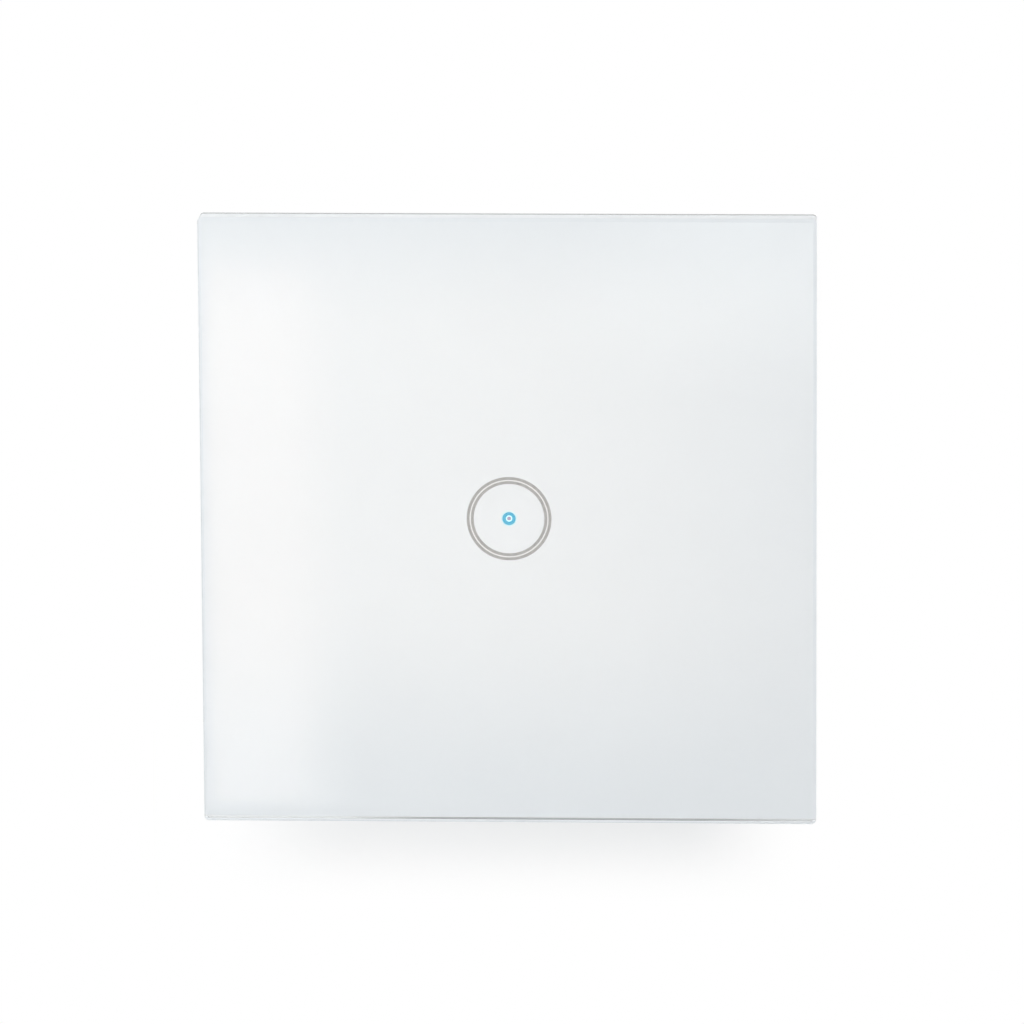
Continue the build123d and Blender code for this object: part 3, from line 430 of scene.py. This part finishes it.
# printed circuit boards: mask, tracks under it and the weave of the laminate
boardBase = {
    "trackSize": 3.2 * mm, "trackRandom": 0.75, "trackPitch": 0.11,
    "trackRange": (0.05, 0.065), "trackHeight": 0.6,
    "weaveSize": 0.5 * mm, "weaveDark": 0.08, "weaveShade": 0.6, "weaveHeight": 0.1,
    "rimRange": (0.3, 0.7), "layerSize": 0.6 * mm, "layerDetail": 3.0, "layerRough": 0.5,
    "layerStretch": (0.1, 6, 0.1), "layerShade": 0.7,
    "strength": 0.5, "depth": 0.03 * mm, "roughEnds": (0.28, 0.75),
}
boardLooks = {
    "white board": {
        "pieces": ["touch_board"],
        "mask": rgb(0.8, 0.81, 0.79), "track": rgb(0.87, 0.875, 0.85), "rim": rgb(0.62, 0.6, 0.45),
    },
    "green board": {
        "pieces": ["power_board"],
        "mask": rgb(0.018, 0.15, 0.065), "track": rgb(0.045, 0.26, 0.11), "rim": rgb(0.45, 0.42, 0.24),
    },
}


def circuitBoard(name, look):
    mat, tree, skin, place = startMaterial(name)
    cells = {"Vector": place, "Scale": 1 / look["trackSize"], "Randomness": look["trackRandom"]}
    cells = put(tree, "TexVoronoi", cells, feature="F1", distance="CHEBYCHEV").outputs[0]
    track = maths(tree, "PINGPONG", cells, look["trackPitch"])
    track = between(tree, track, 0.0, 1.0, *look["trackRange"])
    weave = put(tree, "TexChecker", {"Vector": place, "Scale": 1 / look["weaveSize"]}).outputs["Fac"]
    colour = mixed(tree, track, look["mask"], look["track"])
    woven = times(tree, weave, look["weaveDark"])
    colour = mixed(tree, woven, colour, shade(look["mask"], look["weaveShade"]))
    # the sawn edge shows the laminate
    flat = sizeOf(tree, split(tree, put(tree, "NewGeometry").outputs["Normal"])["Y"])
    rim = between(tree, flat, 1.0, 0.0, *look["rimRange"])
    stretch = look["layerStretch"]
    layers = noise(tree, place, look["layerSize"], look["layerDetail"], look["layerRough"], stretch)
    laminate = mixed(tree, layers, shade(look["rim"], look["layerShade"]), look["rim"])
    colour = mixed(tree, rim, colour, laminate)
    connect(tree, skin, {"Base Color": colour, "Roughness": between(tree, rim, *look["roughEnds"])})
    height = maths(tree, "ADD", times(tree, track, look["trackHeight"]),
                   times(tree, weave, look["weaveHeight"]))
    bumpy(tree, skin, height, look["strength"], look["depth"])
    return mat


# wire wound in even turns along one axis
windingLook = {
    "colour": rgb(0.62, 0.22, 0.07), "wire": 0.12 * mm, "axis": "Y",
    "distortion": 0.15, "detail": 1.0, "detailScale": 0.4,
    "paintedGapShade": 0.35, "ageSize": 2 * mm, "ageDetail": 3.0, "ageShade": 1.25,
    "strength": 0.9, "roughEnds": (0.22, 0.36), "metal": 0.75,
}


def woundWire(name, look):
    mat, tree, skin, place = startMaterial(name)
    # at a scale of pi / 10 the bands are one metre apart
    turns = put(tree, "TexWave", {
        "Vector": place, "Scale": math.pi / (10 * look["wire"]), "Distortion": look["distortion"],
        "Detail": look["detail"], "Detail Scale": look["detailScale"],
    }, wave_type="BANDS", bands_direction=look["axis"])
    height = turns.outputs["Fac"]
    age = noise(tree, place, look["ageSize"], look["ageDetail"])
    crest = mixed(tree, age, look["colour"], shade(look["colour"], look["ageShade"]))
    # painted shade in the gaps between the turns
    connect(tree, skin, {"Base Color": mixed(tree, height, shade(look["colour"], look["paintedGapShade"]), crest),
                         "Roughness": between(tree, age, *look["roughEnds"])})
    bumpy(tree, skin, height, look["strength"], look["wire"] / 2)
    skin.inputs["Metallic"].default_value = look["metal"]
    return mat


# thin film with faint creases
filmLook = {
    "creaseSize": 6 * mm, "creaseDetail": 4.0, "creaseRough": 0.6, "creaseStretch": (1, 1, 0.3),
    "colours": (rgb(0.74, 0.71, 0.6), rgb(0.86, 0.84, 0.76)),
    "strength": 0.3, "depth": 0.1 * mm, "roughEnds": (0.2, 0.34),
}


def filmSheet(look):
    mat, tree, skin, place = startMaterial("insulating film")
    stretch = look["creaseStretch"]
    crease = noise(tree, place, look["creaseSize"], look["creaseDetail"], look["creaseRough"], stretch)
    connect(tree, skin, {"Base Color": mixed(tree, crease, *look["colours"]),
                         "Roughness": between(tree, crease, *look["roughEnds"])})
    bumpy(tree, skin, crease, look["strength"], look["depth"])
    return mat


# the transformer's dark sintered core
ferriteLook = {
    "grainSize": 0.12 * mm, "grainDetail": 5.0, "grainRough": 0.7,
    "colours": (rgb(0.035, 0.036, 0.04), rgb(0.1, 0.1, 0.105)),
    "edgeRadius": 0.15 * mm, "edgeLight": 0.5, "edgeColour": rgb(0.24, 0.24, 0.24),
    "strength": 0.5, "depth": 0.03 * mm, "roughEnds": (0.45, 0.7),
}


def sinteredCore(look):
    mat, tree, skin, place = startMaterial("ferrite")
    grain = noise(tree, place, look["grainSize"], look["grainDetail"], look["grainRough"])
    rounded, edge = edgeLean(tree, look["edgeRadius"])
    colour = mixed(tree, grain, *look["colours"])
    # lighter along the edges
    colour = mixed(tree, times(tree, edge, look["edgeLight"]), colour, look["edgeColour"])
    connect(tree, skin, {"Base Color": colour, "Roughness": between(tree, grain, *look["roughEnds"])})
    bumpy(tree, skin, grain, look["strength"], look["depth"], rounded)
    return mat


# each can has a printed sleeve with a pale stripe, and a bare top
sleeveLook = {
    "sleeve": rgb(0.03, 0.045, 0.1), "sleeveShade": 1.4,
    "stripe": rgb(0.62, 0.64, 0.66), "stripeFrom": (3.3 * mm, 3.36 * mm),
    "top": rgb(0.6, 0.61, 0.62), "topFrom": (0.15 * mm, 0.1 * mm),
    "scuffSize": 1.2 * mm, "scuffDetail": 4.0, "scuffRough": 0.6,
    "strength": 0.2, "depth": 0.02 * mm, "roughEnds": (0.25, 0.42),
}


def canSleeve(look):
    mat, tree, skin, place = startMaterial("can sleeve")
    low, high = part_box("smoothing_capacitors")
    apart = split(tree, place)
    across = maths(tree, "SUBTRACT", (low.x + high.x) / 2, apart["X"])
    stripe = between(tree, across, 0.0, 1.0, *look["stripeFrom"])
    onTop = between(tree, apart["Y"], 0.0, 1.0, *[high.y - depth for depth in look["topFrom"]])
    scuff = noise(tree, place, look["scuffSize"], look["scuffDetail"], look["scuffRough"])
    sleeve = mixed(tree, scuff, look["sleeve"], shade(look["sleeve"], look["sleeveShade"]))
    colour = mixed(tree, onTop, mixed(tree, stripe, sleeve, look["stripe"]), look["top"])
    connect(tree, skin, {"Base Color": colour, "Metallic": onTop,
                         "Roughness": between(tree, scuff, *look["roughEnds"])})
    bumpy(tree, skin, scuff, look["strength"], look["depth"])
    return mat


frontLooks = {
    "white frame plastic": {"pieces": ["panel_frame"], "colour": rgb(0.83, 0.84, 0.84)},
    "white cover plastic": {
        "pieces": ["front_cover"], "colour": rgb(0.8, 0.81, 0.81),
        "rough": 0.5, "grainSize": 0.3 * mm, "grainDepth": 0.04 * mm,
    },
    "lamp body": {
        "pieces": ["indicator_led"], "colour": rgb(0.75, 0.85, 0.95),
        "rough": 0.25, "grainDepth": 0.005 * mm,
    },
    "tinned spring wire": {
        "pieces": ["touch_spring"], "colour": rgb(0.74, 0.74, 0.72), "tint": rgb(0.66, 0.65, 0.62),
        "rough": 0.28,
    },
    "chip epoxy": {
        "pieces": ["touch_chip", "power_chip", "bridge_rectifier"], "colour": rgb(0.028, 0.028, 0.03),
        "rough": 0.5, "edgeLight": 0.6,
    },
    "small part ceramic": {"pieces": ["touch_board_parts"], "colour": rgb(0.42, 0.33, 0.22), "rough": 0.4},
    "zinc plate": {
        "pieces": ["mounting_plate"], "colour": rgb(0.67, 0.68, 0.69), "tint": rgb(0.56, 0.58, 0.61),
        "rollSize": 0.5 * mm, "rollStretch": (0.04, 1, 1), "spangleSize": 3.5 * mm, "spangleDepth": 0.22,
    },
    "screw plating": {
        "pieces": ["case_screws", "board_screws"],
        "colour": rgb(0.71, 0.7, 0.66), "tint": rgb(0.66, 0.62, 0.52), "rough": 0.3,
    },
}
insideLooks = {
    "header plastic": {
        "pieces": ["header_body", "header_socket"], "colour": rgb(0.03, 0.03, 0.033), "rough": 0.48,
    },
    "gold plating": {
        "pieces": ["header_pins"], "colour": rgb(0.86, 0.68, 0.3), "tint": rgb(0.8, 0.6, 0.24),
        "rough": 0.24,
    },
    "tinned lead": {
        "pieces": ["component_pins"], "colour": rgb(0.74, 0.74, 0.73), "tint": rgb(0.64, 0.64, 0.62),
        "rough": 0.35,
    },
    "relay cover plastic": {
        "pieces": ["relay_cover"], "colour": rgb(0.03, 0.1, 0.36), "rough": 0.3, "grainDepth": 0.008 * mm,
    },
    "relay base plastic": {"pieces": ["relay_base"], "colour": rgb(0.025, 0.07, 0.24)},
    "nickel plated iron": {
        "pieces": ["relay_yoke", "relay_core", "relay_armature"],
        "colour": rgb(0.62, 0.61, 0.58), "tint": rgb(0.5, 0.49, 0.47), "rough": 0.36,
    },
    "reel plastic": {
        "pieces": ["relay_bobbin", "transformer_bobbin"], "colour": rgb(0.05, 0.05, 0.055), "rough": 0.45,
    },
    "contact copper": {
        "pieces": ["relay_contact_blade", "relay_fixed_contact"],
        "colour": rgb(0.78, 0.42, 0.25), "tint": rgb(0.66, 0.34, 0.2), "rough": 0.32,
    },
    "contact silver": {
        "pieces": ["relay_moving_contact"],
        "colour": rgb(0.86, 0.86, 0.83), "tint": rgb(0.74, 0.73, 0.7), "rough": 0.26,
    },
    "winding tape": {
        "pieces": ["transformer_winding"], "colour": rgb(0.72, 0.55, 0.06),
        "rough": 0.28, "grainDepth": 0.01 * mm,
    },
    "film capacitor case": {"pieces": ["film_capacitor"], "colour": rgb(0.42, 0.43, 0.44), "rough": 0.38},
    "varistor coating": {
        "pieces": ["varistor"], "colour": rgb(0.02, 0.09, 0.3), "rough": 0.26, "cloudSize": 3 * mm,
    },
    "fuse case": {"pieces": ["fuse"], "colour": rgb(0.05, 0.045, 0.045), "rough": 0.4},
}
rearLooks = {
    "housing plastic": {
        "pieces": ["rear_housing"], "colour": rgb(0.7, 0.71, 0.715),
        "rough": 0.46, "grainSize": 0.42 * mm, "grainDepth": 0.06 * mm, "speck": 0.3,
    },
    "terminal green plastic": {"pieces": ["terminal_block"], "colour": rgb(0.03, 0.22, 0.1), "rough": 0.4},
    "tab brass": {
        "pieces": ["terminal_tabs"], "colour": rgb(0.8, 0.64, 0.34), "tint": rgb(0.7, 0.54, 0.26),
        "rough": 0.3,
    },
}
for number in (1, 2, 3):
    rearLooks[f"nickel plated brass {number}"] = {
        "pieces": [f"terminal_cage_{number}"], "colour": rgb(0.76, 0.68, 0.5), "tint": rgb(0.68, 0.6, 0.42),
    }
    rearLooks[f"terminal screw plating {number}"] = {
        "pieces": [f"terminal_screw_{number}"],
        "colour": rgb(0.7, 0.7, 0.68), "tint": rgb(0.62, 0.6, 0.54), "rough": 0.27,
    }

print("dressing the panel")
dress(clearGlass(glassLook), "glass_panel")
dress(whitePaint(paintLook), "white_back_print")
dress(greyInk(inkLook), "touch_ring_print")
dress(litGuide(dotLook), "light_guide")
dress(foamTape(foamLook), "panel_adhesive")

print("dressing the frame and the module's front")
dressAll(frontLooks)

print("dressing the module's inside")
dressAll(insideLooks)
for boardName, boardLook in boardLooks.items():
    dress(circuitBoard(boardName, {**boardBase, **boardLook}), *boardLook["pieces"])
dress(filmSheet(filmLook), "insulation_sheet")
dress(woundWire("relay winding", windingLook), "relay_coil")
dress(sinteredCore(ferriteLook), "transformer_core")
dress(canSleeve(sleeveLook), "smoothing_capacitors")

print("dressing the rear")
dressAll(rearLooks)


pureWhite = rgb(1, 1, 1)


# a flat piece of the stage
def plane(name, size, place, turn):
    half = size / 2
    corners = [(-half, -half, 0), (half, -half, 0), (half, half, 0), (-half, half, 0)]
    mesh = bpy.data.meshes.new(name)
    mesh.from_pydata(corners, [], [(0, 1, 2, 3)])
    made = bpy.data.objects.new(name, mesh)
    made.matrix_world = Matrix.Translation(place) @ turn
    bpy.context.scene.collection.objects.link(made)
    return made


# a white sheet close behind the switch; the shade values are the heights and places where its shadow fades
sheetLook = {
    "gap": 0.6 * mm,
    "size": 0.5,
    "matt": rgb(0.471, 0.465, 0.456),
    "glow": rgb(0.5747, 0.5815, 0.5924),
    "shadeTop": (-0.034, -0.042),
    "shadeLeft": (-0.05, -0.028),
    "shadeRight": (0.02, 0.038),
    "shadeFoot": (-0.059, -0.0465),
}


def backSheet(look):
    upright = Matrix.Rotation(math.pi / 2, 4, "X")
    sheet = plane("back_sheet", look["size"], (0, cadHigh.y + look["gap"], 0), upright)
    mat, tree, skin, place = startMaterial("back sheet")
    tree.nodes.remove(skin)
    matt = put(tree, "BsdfDiffuse", {"Color": look["matt"]})
    glow = put(tree, "Emission", {"Color": look["glow"], "Strength": 1.0})
    lit = put(tree, "AddShader", {0: matt.outputs[0], 1: glow.outputs[0]})
    white = put(tree, "Emission", {"Strength": 1.0})
    # it takes a shadow only under the panel's lower edge, and is plain white elsewhere
    apart = split(tree, put(tree, "NewGeometry").outputs["Position"])
    shaded = times(
        tree,
        between(tree, apart["Z"], 0.0, 1.0, *look["shadeTop"], True),
        between(tree, apart["X"], 0.0, 1.0, *look["shadeLeft"], True),
        between(tree, apart["X"], 1.0, 0.0, *look["shadeRight"], True),
        between(tree, apart["Z"], 0.0, 1.0, *look["shadeFoot"], True),
    )
    shown = mixedShader(tree, shaded, white, lit)
    # seen from the room only, and by no lamp
    seen = rayIs(tree, put(tree, "LightPath"), "Is Camera Ray", "Is Transmission Ray")
    front = maths(tree, "SUBTRACT", 1.0, put(tree, "NewGeometry").outputs["Backfacing"])
    hollow = put(tree, "BsdfTransparent")
    showShader(tree, mixedShader(tree, times(tree, seen, front), hollow, shown))
    sheet.data.materials.append(mat)


# a pale floor well below the switch
floorLook = {
    "drop": 0.12, "size": 6.0, "colour": rgb(0.86, 0.86, 0.86), "cloudShade": 0.99,
    "cloudSize": 0.4, "cloudDetail": 2.0, "roughEnds": (0.7, 0.8), "gloss": 0.2,
    "glow": 0.26, "fade": (0.1, 0.34),
}


def paleFloor(look):
    floor = plane("floor", look["size"], (0, 0, cadLow.z - look["drop"]), Matrix.Identity(4))
    mat, tree, skin, place = startMaterial("pale floor")
    cloud = noise(tree, place, look["cloudSize"], look["cloudDetail"])
    path = put(tree, "LightPath")
    seen = rayIs(tree, path, "Is Camera Ray", "Is Transmission Ray", "Is Glossy Ray")
    connect(tree, skin, {
        "Base Color": mixed(tree, cloud, shade(look["colour"], look["cloudShade"]), look["colour"]),
        "Roughness": between(tree, cloud, *look["roughEnds"]),
        "Emission Strength": times(tree, seen, look["glow"]),
    })
    skin.inputs["Specular IOR Level"].default_value = look["gloss"]
    skin.inputs["Emission Color"].default_value = pureWhite
    # it takes the shadow near the switch and is plain white further out
    reach = put(tree, "VectorMath", {0: place}, operation="LENGTH").outputs["Value"]
    far = times(tree, seen, between(tree, reach, 0.0, 1.0, *look["fade"], True))
    white = put(tree, "Emission", {"Strength": 1.0})
    shown = mixedShader(tree, far, skin, white)
    below = times(tree, seen, put(tree, "NewGeometry").outputs["Backfacing"])
    showShader(tree, mixedShader(tree, below, shown, put(tree, "BsdfTransparent")))
    floor.data.materials.append(mat)


# lamps, all soft
lampLooks = {
    "key": {"place": (-0.135, -0.38, 0.27), "size": 0.24, "power": 1.12, "colour": (1.0, 0.995, 0.985)},
    "fillLeft": {"place": (-0.85, -0.6, 0.05), "size": 0.8, "power": 3.02, "colour": (1.0, 0.998, 0.99)},
    "rear": {"place": (-0.45, 0.75, 0.5), "size": 0.5, "power": 4.2, "colour": (1.0, 0.99, 0.97)},
    "rearFill": {"place": (0.8, 0.5, 0.15), "size": 0.6, "power": 1.2, "colour": (0.94, 0.97, 1.0)},
}


def addLamp(name, look):
    lamp = bpy.data.lights.new(name, "AREA")
    lamp.shape = "SQUARE"
    lamp.size = look["size"]
    lamp.energy = look["power"]
    lamp.color = look["colour"]
    made = bpy.data.objects.new(name, lamp)
    bpy.context.scene.collection.objects.link(made)
    made.location = look["place"]
    made.rotation_euler = (-Vector(look["place"])).to_track_quat("-Z", "Y").to_euler()
    made.visible_camera = False


# pale cards that show only as soft reflections, each given by the stretch of the glass that mirrors it;
# soft is the share that fades in from the left, the right, the foot and the top
cardLooks = {
    "wideCard": {
        "left": -41.2 * mm, "right": 80 * mm, "foot": -42 * mm, "top": 46 * mm, "distance": 0.31,
        "soft": (0.035, 0.7, 0.385, 0.25), "colour": rgb(1.0, 0.79, 0.6), "strength": 2.27,
    },
    "leftCard": {
        "left": -41.2 * mm, "right": -20 * mm, "foot": -39.5 * mm, "top": 38 * mm, "distance": 0.3,
        "soft": (0.19, 0.48, 0.05, 0.1), "colour": rgb(1.0, 0.73, 0.64), "strength": 1.1,
    },
    "footCard": {
        "left": -41.5 * mm, "right": -17 * mm, "foot": -39.5 * mm, "top": -6 * mm, "distance": 0.29,
        "soft": (0.2, 0.6, 0.08, 0.9), "colour": rgb(0.97, 1.0, 0.97), "strength": 1.3,
    },
    "cornerCard": {
        "left": 2 * mm, "right": 41 * mm, "foot": 14 * mm, "top": 40.5 * mm, "distance": 0.28,
        "soft": (0.8, 0.02, 0.75, 0.02), "colour": rgb(0.97, 1.0, 0.98), "strength": 1.25,
    },
}


def mirrored(x, z, distance):
    # where a line from the camera to a point of the glass front goes on to, that far out into the room
    eye = bpy.context.scene.camera.location
    spot = Vector((x, cadLow.y, z))
    ray = spot - eye
    return spot + Vector((ray.x, -ray.y, ray.z)) * (distance / ray.y)


def addCard(name, look):
    low = mirrored(look["left"], look["foot"], look["distance"])
    high = mirrored(look["right"], look["top"], look["distance"])
    size = Vector((high.x - low.x, 1.0, high.z - low.z))
    card = plane(name, 1.0, (0, 0, 0), Matrix.Identity(4))
    card.data.transform(Matrix.Rotation(math.pi / 2, 4, "X"))
    card.matrix_world = Matrix.Translation((low + high) / 2) @ Matrix.Diagonal(size).to_4x4()
    for ray in ("camera", "diffuse", "shadow", "transmission"):
        setattr(card, "visible_" + ray, False)
    mat, tree, skin, place = startMaterial(name)
    tree.nodes.remove(skin)
    apart = split(tree, place)
    left, right, foot, top = look["soft"]
    level = times(
        tree, look["strength"],
        between(tree, apart["X"], 0.0, 1.0, -0.5, -0.5 + left, True),
        between(tree, apart["X"], 1.0, 0.0, 0.5 - right, 0.5, True),
        between(tree, apart["Z"], 0.0, 1.0, -0.5, -0.5 + foot, True),
        between(tree, apart["Z"], 1.0, 0.0, 0.5 - top, 0.5, True),
    )
    glow = put(tree, "Emission", {"Color": look["colour"], "Strength": level})
    clear = put(tree, "BsdfTransparent")
    showShader(tree, put(tree, "AddShader", {0: glow.outputs[0], 1: clear.outputs[0]}))
    card.data.materials.append(mat)


# the room is white to look at; metal and glass see its lower rear a little darker
roomLook = {
    "light": 0.309, "lightColour": rgb(0.95, 0.985, 1.0),
    "shine": 0.95, "rearShine": 0.42, "rearRange": (0.1, 0.8), "lowRange": (-0.1, 0.12),
}


def whiteRoom(look):
    world = bpy.data.worlds.new("room")
    bpy.context.scene.world = world
    world.use_nodes = True
    tree = world.node_tree
    tree.nodes.clear()
    output = put(tree, "OutputWorld")
    path = put(tree, "LightPath")
    glossy = path.outputs["Is Glossy Ray"]
    seen = rayIs(tree, path, "Is Camera Ray", "Is Transmission Ray")
    way = split(tree, put(tree, "TexCoord").outputs["Generated"])
    rearward = between(tree, way["Y"], 0.0, 1.0, *look["rearRange"], True)
    low = between(tree, way["Z"], 1.0, 0.0, *look["lowRange"], True)
    shine = between(tree, times(tree, rearward, low), look["shine"], look["rearShine"])
    level = between(tree, seen, between(tree, glossy, look["light"], shine), 1.0)
    colour = mixed(tree, maths(tree, "MAXIMUM", seen, glossy), look["lightColour"], pureWhite)
    room = put(tree, "Background", {"Color": colour, "Strength": level})
    tree.links.new(room.outputs[0], output.inputs[0])


# camera: long lens, a little from the right and from above
cameraLook = {
    "azimuth": 3.0, "elevation": 11.35, "roll": -0.312, "distance": 1.2,
    "lens": 324.72, "sensor": 36, "near": 0.05, "aim": (0.42 * mm, -7.0 * mm, 1.01 * mm),
}


def addCamera(look):
    azimuth, elevation, roll = (math.radians(look[key]) for key in ("azimuth", "elevation", "roll"))
    level = math.cos(elevation)
    back = Vector((math.sin(azimuth) * level, -math.cos(azimuth) * level, math.sin(elevation)))
    side = Vector((0, 0, 1)).cross(back).normalized()
    up = back.cross(side)
    right = side * math.cos(roll) + up * math.sin(roll)
    up = up * math.cos(roll) - side * math.sin(roll)
    lens = bpy.data.cameras.new("camera")
    lens.lens = look["lens"]
    lens.sensor_width = look["sensor"]
    lens.clip_start = look["near"]
    made = bpy.data.objects.new("camera", lens)
    bpy.context.scene.collection.objects.link(made)
    axes = Matrix((right, up, back)).transposed().to_4x4()
    made.matrix_world = Matrix.Translation(Vector(look["aim"]) + back * look["distance"]) @ axes
    bpy.context.scene.camera = made


print("setting the stage")
backSheet(sheetLook)
paleFloor(floorLook)
for lampName, lampLook in lampLooks.items():
    addLamp(lampName, lampLook)
whiteRoom(roomLook)
addCamera(cameraLook)
for cardName, cardLook in cardLooks.items():
    addCard(cardName, cardLook)
bpy.context.scene.view_settings.view_transform = "Standard"
